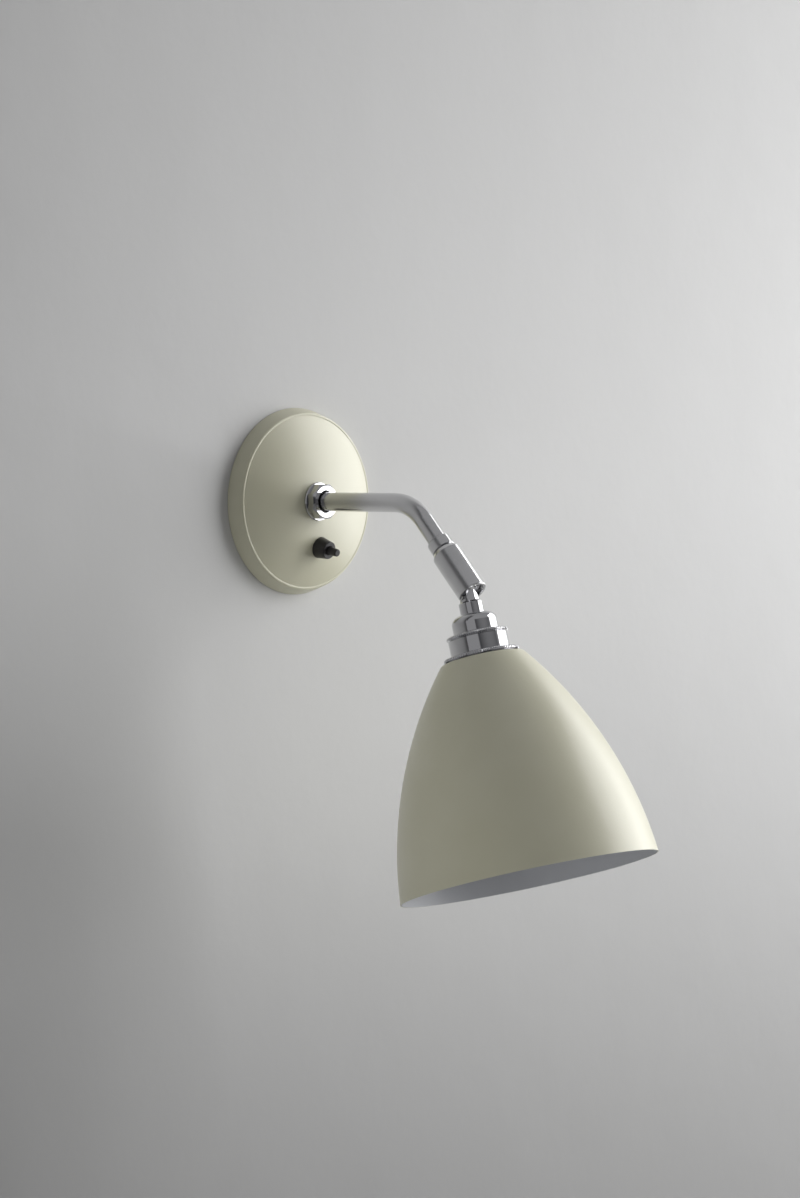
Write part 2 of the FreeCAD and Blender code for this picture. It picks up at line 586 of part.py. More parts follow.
# --- Head --------------------------------------------------------------------------------------
def head_joint():
    waist = sqrt(BALL_R ** 2 - WAIST_R ** 2)
    crown = -6.0
    crown_r = sqrt(BALL_R ** 2 - crown ** 2)
    stud = turned([
        (3.5, crown),
        (crown_r, crown),
        (BALL_R, 0, WAIST_R, waist),
        (WAIST_R + 0.2, 8.2, FLARE_R, NECK_TOP),
        (SHANK_R, NECK_TOP),
        (SHANK_R, SHANK_END),
        (FLEX_R, SHANK_END),
        (FLEX_R, waist),
    ])
    save("ball_stud", HEAD, stud)
    neck = turned([
        (SHANK_R, NECK_TOP),
        (NECK_R - 0.9, NECK_TOP),
        (NECK_R, NECK_TOP + 0.9),
        (NECK_R, CAP_TOP),
        (SHANK_R, CAP_TOP),
    ])
    save("holder_neck", HEAD, neck)
    save("flex_in_head", HEAD, rod(FLEX_R, waist - 4.0, SHANK_END + 1.0))


def lamp_holder():
    def shoulder(radius, top, rounding):
        centre_r, centre_z = radius - rounding, top + rounding
        return (centre_r + rounding * sin(pi / 4), centre_z - rounding * cos(pi / 4),
                radius, centre_z)

    inner_top = CAP_TOP + CAP_WALL
    inner_r = CAP_R - CAP_WALL
    inner_round = CAP_SHOULDER - CAP_WALL
    middle_r, middle_z, _, _ = shoulder(inner_r, inner_top, inner_round)
    cap = turned([
        (SHANK_R, CAP_TOP),
        (CAP_R - CAP_SHOULDER, CAP_TOP),
        shoulder(CAP_R, CAP_TOP, CAP_SHOULDER),
        (CAP_R, RING_END - 0.1),
        (inner_r, RING_END - 0.1),
        (inner_r, inner_top + inner_round),
        (middle_r, middle_z, inner_r - inner_round, inner_top),
        (SHANK_R, inner_top),
    ])
    save("holder_cap", HEAD, cap)
    nut = prism(6, 8.0, inner_top, inner_top + 3.0)
    save("holder_locknut", HEAD, nut.cut(rod(SHANK_R, inner_top, inner_top + 3.0)))
    save("knurled_ring", HEAD, turned([
        (CAP_R, RING_TOP),
        (RING_R - 0.5, RING_TOP),
        (RING_R, RING_TOP + 0.35),
        (RING_R, RING_END - 0.35),
        (RING_R - 0.3, RING_END),
        (CAP_R, RING_END),
    ]))
    skirt_bore_r = SKIRT_R - SKIRT_WALL
    save("holder_skirt", HEAD, turned([
        (inner_r, RING_END),
        (SKIRT_R - 0.3, RING_END),
        (SKIRT_R, RING_END + 0.3),
        (SKIRT_R, SKIRT_END),
        (skirt_bore_r, SKIRT_END),
        (skirt_bore_r, INSERT_TOP - 0.2),
        (inner_r, INSERT_TOP - 0.2),
    ]))
    insert = rod(skirt_bore_r, INSERT_TOP, INSERT_END)
    insert = insert.cut(ring(12.0, SCREW_SHELL_R, INSERT_END - 2.0, INSERT_END))
    screws = []
    for x in (-CONTACT_SCREW_X, CONTACT_SCREW_X):
        insert = insert.cut(rod(CONTACT_SCREW_R, INSERT_TOP, INSERT_TOP + CONTACT_SCREW, x, 0))
        screws.append(screw(2.2, CONTACT_SCREW_R, INSERT_TOP - 1.6, INSERT_TOP,
                            INSERT_TOP + CONTACT_SCREW, x, 0))
    save("holder_insert", HEAD, insert)
    save("contact_screws", HEAD, *screws)
    save("screw_shell", HEAD,
         ring(SCREW_SHELL_R - SCREW_SHELL_WALL, SCREW_SHELL_R, INSERT_END - 2.0, SCREW_SHELL_END))
    tongue = box(-2.5, 9.0, -2.5, 2.5, INSERT_END, INSERT_END + 0.8)
    post = rod(2.5, INSERT_END, BULB_TIP)
    save("centre_contact", HEAD, tongue.fuse(post).removeSplitter())
    leads = []
    for side in (-1, 1):
        route = [(1.3 * side, 0, SHANK_END + 1.0), (1.3 * side, 0, SHANK_END + 3.2),
                 (8.0 * side, 3.0, SHANK_END + 5.2), (8.0 * side, 3.0, INSERT_TOP)]
        leads.append(bent_rod(route, 1.2, LEAD_R))
    save("head_leads", HEAD, *leads)


def shade():
    flare = radians(SHADE_RIM_FLARE)
    centre_r = SHADE_RIM_R - SHADE_ARC * cos(flare)
    centre_z = SHADE_RIM + SHADE_ARC * sin(flare)

    def side_r(z, arc):
        return centre_r + sqrt(arc ** 2 - (z - centre_z) ** 2)

    inner_arc = SHADE_ARC - SHADE_SHEET
    inner_top = SHADE_TOP + SHADE_SHEET
    middle = (SHADE_TOP + SHADE_RIM) / 2
    corner_r, inner_corner_r = side_r(SHADE_TOP, SHADE_ARC), side_r(inner_top, inner_arc)
    bell = turned([
        (SHADE_HOLE_R, SHADE_TOP),
        (corner_r, SHADE_TOP),
        (side_r(middle, SHADE_ARC), middle, SHADE_RIM_R, SHADE_RIM),
        (side_r(SHADE_RIM, inner_arc), SHADE_RIM),
        (side_r(middle, inner_arc), middle, inner_corner_r, inner_top),
        (SHADE_HOLE_R, inner_top),
    ])
    bell = rounded(bell, SHADE_SHOULDER, corner_r, SHADE_TOP)
    bell = rounded(bell, SHADE_SHOULDER - SHADE_SHEET, inner_corner_r, inner_top)
    save("shade", HEAD, bell)
    save("shade_ring", HEAD, shade_ring(SHADE_RING_TOP, SHADE_RING_END))
    save("shade_washer", HEAD, ring(SKIRT_R, SHADE_RING_R - 1.0, SHADE_RING_END, SHADE_TOP))
    thickness = SHADE_RING_END - SHADE_RING_TOP
    save("shade_lock_ring", HEAD, shade_ring(inner_top, inner_top + thickness))


def shade_ring(low, high):
    return turned([
        (SKIRT_R, low),
        (SHADE_RING_R - 0.5, low),
        (SHADE_RING_R, low + 0.4),
        (SHADE_RING_R, high - 0.4),
        (SHADE_RING_R - 0.4, high),
        (SKIRT_R, high),
    ])


def bulb():
    """A cap, a hollow housing above the light, and a thin diffusing globe."""
    insulator_r, contact_r = 9.5, 4.0
    inner_r = BULB_SHELL_R - BULB_WALL
    save("bulb_cap", HEAD, turned([
        (0, BULB_TIP),
        (contact_r, BULB_TIP),
        (contact_r, BULB_TIP + 1.0),
        (insulator_r, BULB_SHELL_TOP - 0.8),
        (BULB_SHELL_R, BULB_SHELL_TOP + 2.0),
        (BULB_SHELL_R, BULB_SHELL_END),
        (inner_r, BULB_SHELL_END),
        (inner_r, BULB_SHELL_TOP + 2.4),
        (insulator_r, BULB_SHELL_TOP + 0.6),
        (0, BULB_SHELL_TOP + 0.6),
    ]))
    neck_r, middle_r, middle_z = 13.6, 15.6, 80.0
    save("bulb_body", HEAD, turned([
        (neck_r, BULB_SHELL_END),
        (middle_r, middle_z, GLOBE_NECK_R, GLOBE_NECK),
        (0, GLOBE_NECK),
        (0, GLOBE_NECK - BULB_WALL),
        (GLOBE_NECK_R - 2 * BULB_WALL, GLOBE_NECK - BULB_WALL),
        (middle_r - BULB_WALL, middle_z - 0.3, neck_r - BULB_WALL, BULB_SHELL_END),
    ]))
    join = GLOBE_CENTRE - GLOBE_JOIN
    inside_r = GLOBE_R - BULB_WALL
    join_r, inside_join_r = (sqrt(radius ** 2 - GLOBE_JOIN ** 2) for radius in (GLOBE_R, inside_r))
    arc_r, inside_arc_r = GLOBE_R * sin(pi / 4), inside_r * sin(pi / 4)
    save("bulb_globe", HEAD, turned([
        (GLOBE_NECK_R, GLOBE_NECK),
        (join_r, join),
        (GLOBE_R, GLOBE_CENTRE, arc_r, GLOBE_CENTRE + arc_r),
        (GLOBE_R * sin(pi / 8), GLOBE_CENTRE + GLOBE_R * cos(pi / 8), 0, GLOBE_CENTRE + GLOBE_R),
        (0, GLOBE_CENTRE + inside_r),
        (inside_r * sin(pi / 8), GLOBE_CENTRE + inside_r * cos(pi / 8),
         inside_arc_r, GLOBE_CENTRE + inside_arc_r),
        (inside_r, GLOBE_CENTRE, inside_join_r, join),
        (GLOBE_NECK_R - BULB_WALL, GLOBE_NECK),
    ]))


os.makedirs("parts", exist_ok=True)
wall_plate()
gland_nut()
mounting_strap()
bush_and_pins()
connector()
earth_terminal()
plate_leads()
push_switch()
arm()
knuckle()
head_joint()
lamp_holder()
shade()
bulb()
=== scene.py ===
# %% [markdown]
# # A bedside wall lamp, dressed for its photograph
# The lamp's solids come from the packed model: a domed wall plate with a push switch, a bent arm
# that swivels, a sleeve with a ball joint, a lamp holder and a bell-shaped shade. They stay where
# they are. What this lesson adds is what a maker would call the finish: paint, plating, plastic,
# the knurls on the two rings, and the wall, the lamps and the camera of the picture.
# Everything is in metres. +Z is up and the wall is the plane y = 0.

# %% Load the frame
from math import atan2, cos, pi, radians, sin

import bpy
from mathutils import Matrix, Vector


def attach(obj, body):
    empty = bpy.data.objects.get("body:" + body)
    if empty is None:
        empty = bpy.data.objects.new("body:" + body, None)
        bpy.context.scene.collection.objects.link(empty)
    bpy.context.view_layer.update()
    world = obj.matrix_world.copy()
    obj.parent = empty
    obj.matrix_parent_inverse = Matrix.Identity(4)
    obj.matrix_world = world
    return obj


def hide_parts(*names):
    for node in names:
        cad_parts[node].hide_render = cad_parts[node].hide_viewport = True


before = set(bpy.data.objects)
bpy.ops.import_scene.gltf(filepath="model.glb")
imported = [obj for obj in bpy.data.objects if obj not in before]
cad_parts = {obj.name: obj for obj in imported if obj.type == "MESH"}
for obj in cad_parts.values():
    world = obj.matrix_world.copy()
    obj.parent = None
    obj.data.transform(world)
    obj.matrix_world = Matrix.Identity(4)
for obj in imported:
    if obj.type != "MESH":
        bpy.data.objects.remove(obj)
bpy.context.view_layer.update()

# %% [markdown]
# ## The camera
# The photograph was taken from the left of the lamp and a little above its middle, with a long
# lens. A camera can be placed by eye, but then nothing lies quite where it should. So its place and
# its lens were worked out from points of the lamp, such as the ends of the shade's rim and the edge
# of the plate. The three turns below are how a camera stands: round the lamp, tilted down, and
# rolled a little.

# %% Set up the camera
CAMERA_PLACE = Vector((-1.79936, -1.86192, 0.06121))
CAMERA_AZIMUTH, CAMERA_ELEVATION, CAMERA_ROLL = -45.48, 2.75, -0.53
CAMERA_LENS, CAMERA_FRAME = 121.85, 36.0      # millimetres


def facing(azimuth, elevation, roll=0.0):
    """The turn of a camera or lamp that looks back along this direction."""
    around = Matrix.Rotation(radians(azimuth), 4, "Z")
    tilt = Matrix.Rotation(pi / 2 - radians(elevation), 4, "X")
    return around @ tilt @ Matrix.Rotation(radians(roll), 4, "Z")


def add_camera():
    camera = bpy.data.objects.new("camera", bpy.data.cameras.new("camera"))
    bpy.context.scene.collection.objects.link(camera)
    camera.matrix_world = (Matrix.Translation(CAMERA_PLACE)
                           @ facing(CAMERA_AZIMUTH, CAMERA_ELEVATION, CAMERA_ROLL))
    camera.data.lens = CAMERA_LENS
    camera.data.sensor_width = CAMERA_FRAME
    bpy.context.scene.camera = camera


add_camera()
print("camera", round(CAMERA_PLACE.length, 3), "m from the plate")

# %% [markdown]
# ## Writing materials as sums
# A material is a net of small nodes. Drawn by hand it is easy to read, but in a script it soon
# isn't. So one small class wraps a socket, and Python's own signs add the Math nodes. The same
# class makes every other node, with its settings first and the values of its sockets after them.

# %% A socket that does sums
class Wire:
    """One output socket of a material, with Python's signs for the Math nodes."""

    def __init__(self, tree, socket):
        self.tree = tree
        self.socket = socket

    def node(self, kind, settings=None, out=0, **values):
        """Add a node: its kind, its settings, and the values or wires of its sockets."""
        node = self.tree.nodes.new("ShaderNode" + kind)
        for name, value in (settings or {}).items():
            setattr(node, name, value)
        for name, value in values.items():
            key = int(name[1:]) if name[0] == "i" and name[1:].isdigit() else name.replace("_", " ")
            plug(self.tree, value, node.inputs[key])
        return Wire(self.tree, node.outputs[out])

    def maths(self, operation, first, second=0.0, third=0.0):
        return self.node("Math", {"operation": operation}, i0=first, i1=second, i2=third)

    def __add__(self, other):
        return self.maths("ADD", self, other)

    def __radd__(self, other):
        return self.maths("ADD", other, self)

    def __sub__(self, other):
        return self.maths("SUBTRACT", self, other)

    def __rsub__(self, other):
        return self.maths("SUBTRACT", other, self)

    def __mul__(self, other):
        return self.maths("MULTIPLY", self, other)

    def __rmul__(self, other):
        return self.maths("MULTIPLY", other, self)

    def __pow__(self, other):
        return self.maths("POWER", self, other)

    def root(self):
        return self.maths("SQRT", self)

    def step(self, low, high):
        """0 below low, 1 above high, and smooth between them."""
        settings = {"interpolation_type": "SMOOTHSTEP"}
        return self.node("MapRange", settings, i0=self, i1=low, i2=high, i3=0.0, i4=1.0)

    def noise(self, per_metre, detail=2.0, rough=0.5):
        """Cloudy noise on this wire's coordinates, about 0.5 in the middle."""
        return self.node("TexNoise", Vector=self, Scale=per_metre, Detail=detail, Roughness=rough)

    def stretched(self, x, y, z):
        """The coordinates squeezed, so that a pattern on them is drawn out."""
        return self.node("Mapping", Vector=self, Scale=(x, y, z))

    def axis(self, number):
        return self.node("SeparateXYZ", out=number, Vector=self)

    def between(self, first, second):
        """A colour from first to second as this wire goes from 0 to 1."""
        return self.node("Mix", {"data_type": "RGBA"}, out=2, i0=self, i6=first, i7=second)


def plug(tree, value, socket):
    """Give a socket a wire, a number or a colour."""
    if isinstance(value, Wire):
        tree.links.new(value.socket, socket)
    elif isinstance(value, tuple) and len(value) == 3 and socket.type == "RGBA":
        socket.default_value = (*value, 1.0)
    else:
        socket.default_value = value


print("a wire has", len([n for n in vars(Wire) if not n.startswith("__")]), "helpers")

# %% [markdown]
# ## A finish
# Each finish is one Principled shader. A painted picture could be wrapped round each piece, but
# sums stay sharp from near and need no file. Numbers that are the same all over the piece go
# straight into its sockets. What changes over the surface is a wire into its colour, its roughness
# or the bump that bends its normal.

# %% The start of every finish
FINISHES = {}


class Finish:
    """A material named after its slot. Its place wire gives the point on the piece."""

    def __init__(self, slot):
        material = bpy.data.materials.new("finish_" + slot)
        material.use_nodes = True
        FINISHES[slot] = material
        self.material = material
        self.tree = material.node_tree
        self.tree.nodes.clear()
        self.shader = self.tree.nodes.new("ShaderNodeBsdfPrincipled")
        self.output = self.tree.nodes.new("ShaderNodeOutputMaterial")
        self.tree.links.new(self.shader.outputs[0], self.output.inputs[0])
        start = Wire(self.tree, None)
        self.place = start.node("TexCoord", out="Object")

    def set(self, **values):
        for name, value in values.items():
            plug(self.tree, value, self.shader.inputs[name.replace("_", " ")])

    def bump(self, height, depth):
        """Bend the normal by a height wire. Depth is how deep a height of 1 is, in metres."""
        self.set(Normal=self.place.node("Bump", Height=height, Distance=depth, Strength=1.0))


print("finishes so far:", len(FINISHES))

# %% [markdown]
# ## Stoved enamel: the plate and the shade
# Both are spun from sheet metal and sprayed in one warm stone colour. Sprayed enamel is never a
# mirror: it dries with a soft ripple called orange peel, here about a millimetre across, and the
# film is a little thicker in some places, which shifts the colour by a hair. The ripple could be
# modelled, but it is far too shallow to be worth real geometry, so a bump carries it.

# %% Enamel
STONE = (0.635, 0.62, 0.47)
STONE_THIN = (0.665, 0.65, 0.505)
FILM_SCALE, PEEL_SCALE, SPECK_SCALE = 18.0, 750.0, 4200.0      # patches per metre
PEEL_DEPTH = 0.000035
SATIN, SATIN_SPREAD = 0.38, 0.07


def enamel(finish, colour, thin_colour):
    """Orange peel, a hint of colour change and a satin gloss. Returns colour and roughness."""
    cloud = finish.place.noise(FILM_SCALE, 3.0)
    ripple = finish.place.noise(PEEL_SCALE, 2.0, 0.45)
    speck = finish.place.noise(SPECK_SCALE, 1.0)
    finish.bump(ripple * 0.85 + speck * 0.15, PEEL_DEPTH)
    finish.set(Specular_IOR_Level=0.5, Coat_Weight=0.3, Coat_Roughness=0.3)
    return cloud.step(0.3, 0.75).between(colour, thin_colour), SATIN + SATIN_SPREAD * cloud


def plate_enamel():
    finish = Finish("plate_paint")
    colour, rough = enamel(finish, STONE, STONE_THIN)
    finish.set(Base_Color=colour, Roughness=rough)


plate_enamel()
print("plate enamel", STONE)

# %% [markdown]
# ## The place of the head
# The shade and the rings belong to the head, which hangs from the ball joint and leans away from
# the wall. Their finishes and meshes could be written in the wall's axes, but every circle would
# then be a tilted one. It is simpler to find the ball's centre and the head's lean once, and to
# work along the head's own axis.

# %% Where the head stands
ARM_REACH, ARM_DROP, BALL_FROM_CORNER, HEAD_LEAN = 0.104, 47.0, 0.0663, 16.0
BALL_CENTRE = Vector((0, -ARM_REACH - BALL_FROM_CORNER * cos(radians(ARM_DROP)),
                      -BALL_FROM_CORNER * sin(radians(ARM_DROP))))
HEAD_TURN = Matrix.Rotation(radians(180 - HEAD_LEAN), 4, "X")
HEAD = Matrix.Translation(BALL_CENTRE) @ HEAD_TURN
print("ball centre", [round(v, 4) for v in BALL_CENTRE])

# %% [markdown]
# ## The shade, white inside
# The inside of the shade is sprayed flat white, so that it throws the light down. Its solid is one
# shell, and its faces could be sorted by hand into two materials. Sums do it without touching the
# mesh: the bell's side is one arc, and a point nearer to the arc's centre than the middle of the
# sheet is on the inside.

# %% Enamel on the shade, white inside
SHADE_ARC, SHADE_SHEET = 0.253, 0.001
SHADE_RIM_R, SHADE_RIM, SHADE_TOP, SHADE_FLARE = 0.080, 0.1857, 0.0478, radians(4.5)
PAINT_EDGE = 0.0001
INSIDE_WHITE, INSIDE_DULLER = (0.62, 0.63, 0.66), 0.2


def along_head(finish):
    """Distance from the head's axis, and how far along it, of the point on the piece."""
    axis = (HEAD_TURN @ Vector((0, 0, 1))).to_tuple()
    offset = finish.place.node("VectorMath", {"operation": "SUBTRACT"},
                               i0=finish.place, i1=BALL_CENTRE.to_tuple())
    along = offset.node("VectorMath", {"operation": "DOT_PRODUCT"}, out="Value", i0=offset, i1=axis)
    length = offset.node("VectorMath", {"operation": "LENGTH"}, out="Value", i0=offset)
    return (length * length - along * along).root(), along


def shade_enamel():
    finish = Finish("shade_paint")
    colour, rough = enamel(finish, STONE, STONE_THIN)
    from_axis, along = along_head(finish)
    centre_r = SHADE_RIM_R - SHADE_ARC * cos(SHADE_FLARE)
    centre_along = SHADE_RIM + SHADE_ARC * sin(SHADE_FLARE)
    reach = ((from_axis - centre_r) ** 2 + (along - centre_along) ** 2).root()
    middle = SHADE_ARC - SHADE_SHEET / 2
    side = 1 - reach.step(middle - PAINT_EDGE, middle + PAINT_EDGE)
    below_top = along.step(SHADE_TOP + 0.4 * SHADE_SHEET, SHADE_TOP + 0.6 * SHADE_SHEET)
    inside = side * below_top
    finish.set(Base_Color=inside.between(colour, INSIDE_WHITE),
               Roughness=rough + INSIDE_DULLER * inside)


shade_enamel()
print("shade enamel with a white inside")

# %% [markdown]
# ## Plating
# The nut, the holder and the two knurled rings are polished and chromed. The tube and the sleeve
# are plated too, but drawn tube is brushed along its length first, so its gloss is softer. Plating
# has no colour of its own but a faint warm or cool tone, and a flat grey would look like paint.
# What makes it look real is what it mirrors, and the faint wiping marks that spread the reflection.
# One recipe serves all the metals, and a table gives each its tone and its gloss.

# %% Chrome and satin plating
EVEN, DRAWN = (1.0, 1.0, 1.0), (1.0, 0.06, 0.06)      # how the grain is stretched
PLATED = {
    # slot: colour, roughness, how much more where it is hazy, grain
    "chrome": ((0.57, 0.57, 0.585), 0.03, 0.05, EVEN),
    "satin_nickel": ((0.66, 0.66, 0.67), 0.15, 0.10, DRAWN),
    "zinc_steel": ((0.55, 0.56, 0.57), 0.32, 0.16, EVEN),
    "spring_steel": ((0.42, 0.42, 0.43), 0.25, 0.12, EVEN),
    "brass": ((0.72, 0.53, 0.24), 0.22, 0.14, EVEN),
    "bulb_metal": ((0.70, 0.70, 0.69), 0.24, 0.14, EVEN),
}
HAZE_SCALE, MARK_SCALE, MARK_DEPTH = 55.0, 900.0, 0.000004
SMEAR_TONE = 0.94


def plating(slot, colour, gloss, haze, grain):
    """Metal with a soft haze of wiping marks and a grain along a direction."""
    finish = Finish(slot)
    cloud = finish.place.noise(HAZE_SCALE, 3.0)
    marks = finish.place.stretched(*grain).noise(MARK_SCALE, 2.0)
    smear = cloud.step(0.45, 0.8)
    tone = smear.between(colour, tuple(SMEAR_TONE * part for part in colour))
    finish.bump(marks, MARK_DEPTH)
    finish.set(Base_Color=tone, Metallic=1.0, Roughness=gloss + haze * (0.6 * cloud + 0.4 * marks))


for slot, recipe in PLATED.items():
    plating(slot, *recipe)
print("plated finishes:", len(PLATED))

# %% [markdown]
# ## Mouldings, wires and the bulb
# The switch is a phenolic moulding, nearly black, with the fine grain of a mould that has been
# wiped many times. Each moulding could have a material of its own, drawn by hand. They differ only
# in colour, gloss and grain, so one recipe and a table make the connector, the washers, the wire's
# sheaths and the bulb's housing too. The earth wire's stripe and the milky globe need a line more.

# %% Moulded finishes
MOULDED = {
    # slot: colour, roughness, grain per metre, grain depth in metres
    "black_plastic": ((0.013, 0.012, 0.013), 0.38, 2600.0, 0.000010),
    "block_plastic": ((0.74, 0.73, 0.67), 0.33, 1500.0, 0.000006),
    "white_nylon": ((0.78, 0.77, 0.72), 0.42, 1500.0, 0.000006),
    "brown_sheath": ((0.17, 0.075, 0.035), 0.40, 2200.0, 0.000008),
    "blue_sheath": ((0.035, 0.11, 0.42), 0.40, 2200.0, 0.000008),
    "black_sheath": ((0.03, 0.03, 0.03), 0.40, 2200.0, 0.000008),
    "flex_sheath": ((0.70, 0.70, 0.68), 0.50, 1800.0, 0.000008),
    "dark_rubber": ((0.03, 0.03, 0.028), 0.70, 1800.0, 0.000012),
    "porcelain": ((0.82, 0.81, 0.77), 0.22, 900.0, 0.000006),
    "bulb_white": ((0.84, 0.84, 0.82), 0.30, 1500.0, 0.000005),
}
GRAINS_PER_CLOUD, WORN_PALER = 25, 0.025


def moulding(slot, colour, rough, grain_scale, grain_depth):
    finish = Finish(slot)
    grain = finish.place.noise(grain_scale, 2.0)
    cloud = finish.place.noise(grain_scale / GRAINS_PER_CLOUD, 2.0)
    pale = tuple(part + WORN_PALER for part in colour)
    finish.bump(grain, grain_depth)
    finish.set(Base_Color=cloud.step(0.35, 0.8).between(colour, pale),
               Roughness=rough + 0.10 * cloud)


for slot, recipe in MOULDED.items():
    moulding(slot, *recipe)
print("moulded finishes:", len(MOULDED))

# %% Striped earth sheath and opal globe
EARTH_GREEN, EARTH_YELLOW = (0.05, 0.26, 0.05), (0.72, 0.60, 0.04)
STRIPE_EVERY = 0.0008
OPAL, OPAL_CLEAR = (0.86, 0.86, 0.83), (0.90, 0.90, 0.88)


def earth_sheath():
    """Green with a yellow stripe that runs along the wire."""
    finish = Finish("earth_sheath")
    along = finish.place.axis(2)
    stripe = along.maths("PINGPONG", along, STRIPE_EVERY)
    finish.set(Base_Color=stripe.step(0.0003, 0.0005).between(EARTH_GREEN, EARTH_YELLOW),
               Roughness=0.42)
    finish.bump(finish.place.noise(2200.0), 0.000008)


def opal_globe():
    """A thin milky diffuser: white, satin, with light that scatters a little way in."""
    finish = Finish("opal")
    cloud = finish.place.noise(60.0, 2.0)
    finish.set(Base_Color=cloud.between(OPAL, OPAL_CLEAR), Roughness=0.28 + 0.08 * cloud,
               Subsurface_Weight=0.25, Subsurface_Scale=0.004)
    finish.bump(finish.place.noise(1400.0), 0.000004)


earth_sheath()
opal_globe()
print("all finishes:", len(FINISHES))

# %% [markdown]
# ## The finishes go on
# Every solid of the lamp has a slot that is named after its finish. The finishes could be given one
# by one, but a loop over the slots can't forget a washer.

# %% Give every solid its finish
for name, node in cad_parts.items():
    for place in node.material_slots:
        place.material = FINISHES[place.material.name.split(".")[0]]
print("finished:", sorted(FINISHES))

# %% [markdown]
# ## The knurled rings
# Two rings are turned with a knurl, a row of straight teeth pressed into the rim and over its
# rounded shoulder, so that fingers can grip it. A bump would do from far off, but its outline
# would stay smooth. One tooth could be modelled and copied round, but then every joint has to be
# merged. So an open tube is made and every third column of it is pushed in. The shoulder is drawn
# out of its upper edge in small steps, and its lower edge gets the neck that shows as a dark line
# under the ring. Last, the two ends are joined down the bore.

# %% A helper for working on one new piece
def start_piece(name):
    """Rename the new primitive, and leave it alone selected and in edit mode."""
    piece = bpy.context.object
    piece.name = piece.data.name = name
    bpy.ops.object.mode_set(mode="EDIT")
    bpy.ops.mesh.select_all(action="DESELECT")
    return piece


def pick(piece, mode, wanted):
    """Select the vertices or edges that the test wants, and nothing else."""
    bpy.ops.mesh.select_mode(type=mode)
    bpy.ops.mesh.select_all(action="DESELECT")
    bpy.ops.object.mode_set(mode="OBJECT")
    count = 0
    for item in {"VERT": piece.data.vertices, "EDGE": piece.data.edges}[mode]:
        item.select = bool(wanted(item))
        count += item.select
    bpy.ops.object.mode_set(mode="EDIT")
    return count


print("new pieces start from a primitive")

# %% Draw out and pick one loop of edges
NEAR = 1e-6


def draw_on(along, radius, inward):
    """Extrude the selected loop along the axis, then narrow it. Returns its new radius."""
    bpy.ops.mesh.extrude_region_move(TRANSFORM_OT_translate={"value": (0, 0, along)})
    amount = (radius - inward) / radius
    bpy.ops.transform.resize(value=(amount, amount, 1.0), center_override=(0, 0, 0))
    return radius - inward


def pick_level(piece, height):
    """Select the edges that lie level at this height. Returns how many there are."""
    points = piece.data.vertices
    return pick(piece, "EDGE", lambda edge: all(abs(points[i].co.z - height) < NEAR
                                                for i in edge.vertices))


print("loops are picked within", NEAR, "m")

# %% The toothed band
TOOTH_DEPTH = 0.00045
COLUMNS = 3      # to a tooth: two on its crest and one in the groove


def toothed_band(name, radius, low, high, teeth):
    """An open tube with every third column pushed in. Teeth come in fours, so that one is at +Y."""
    tall = high - low
    bpy.ops.object.select_all(action="DESELECT")
    bpy.ops.mesh.primitive_cylinder_add(vertices=COLUMNS * teeth, radius=radius, depth=tall,
                                        end_fill_type="NOTHING",
                                        location=(0, 0, high - tall / 2))
    bpy.ops.object.transform_apply(location=True, rotation=True, scale=True)
    piece = start_piece(name)

    def groove(point):
        turn = atan2(point.co.y, point.co.x) / (2 * pi)
        return round(turn * COLUMNS * teeth) % COLUMNS == 0

    pushed = pick(piece, "VERT", groove)
    inner = (radius - TOOTH_DEPTH) / radius
    bpy.ops.transform.resize(value=(inner, inner, 1.0), center_override=(0, 0, 0))
    print(name, "points pushed in:", pushed)
    return piece


# %% Join the two ends down the bore
def join_down_bore(piece, bore_r):
    """Set the innermost points on a true circle and bridge the two loops that they make."""
    bpy.ops.object.mode_set(mode="OBJECT")
    bore = {point.index for point in piece.data.vertices
            if point.co.xy.length < bore_r + 10 * NEAR}
    for index in bore:
        point = piece.data.vertices[index]
        point.co.xy *= bore_r / point.co.xy.length
    bpy.ops.object.mode_set(mode="EDIT")
    pick(piece, "EDGE", lambda edge: all(i in bore for i in edge.vertices))
    bpy.ops.mesh.bridge_edge_loops()
    bpy.ops.mesh.select_all(action="SELECT")
    bpy.ops.mesh.normals_make_consistent(inside=False)
    bpy.ops.object.mode_set(mode="OBJECT")


print("a tooth is", TOOTH_DEPTH * 1000, "mm deep")

# %% Make one knurled ring
SHOULDER = ((0.0003, 0.0001), (0.0003, 0.0003), (0.00025, 0.0005), (0.00015, 0.0007))
NECK_IN, SHARP_FROM = 0.0022, radians(35)


def knurled_ring(name, bore_r, outer_r, low, high, teeth, neck):
    """A ring about the head's axis, from low to high along it, with teeth round its rim."""
    shoulder = sum(rise for rise, _ in SHOULDER)
    bottom = high - neck
    piece = toothed_band(name, outer_r, low + shoulder, bottom, teeth)
    pick_level(piece, low + shoulder)
    radius = outer_r
    for rise, inward in SHOULDER:
        radius = draw_on(-rise, radius, inward)
    draw_on(0.0, radius, radius - bore_r)
    pick_level(piece, bottom)
    radius = draw_on(0.0, outer_r, NECK_IN)
    radius = draw_on(neck, radius, 0.0)
    draw_on(0.0, radius, radius - bore_r)
    join_down_bore(piece, bore_r)
    piece.matrix_world = HEAD
    bpy.ops.object.transform_apply(location=True, rotation=True, scale=True)
    bpy.ops.object.shade_smooth_by_angle(angle=SHARP_FROM)
    piece.data.materials.append(FINISHES["chrome"])
    print(name, "faces:", len(piece.data.polygons))
    return piece


# %% The ring between cap and skirt
holder_ring = knurled_ring("knurled_holder_ring", bore_r=0.0141, outer_r=0.01905,
                           low=0.0318, high=0.0344, teeth=76, neck=0.0009)
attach(holder_ring, "head")
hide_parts("knurled_ring")

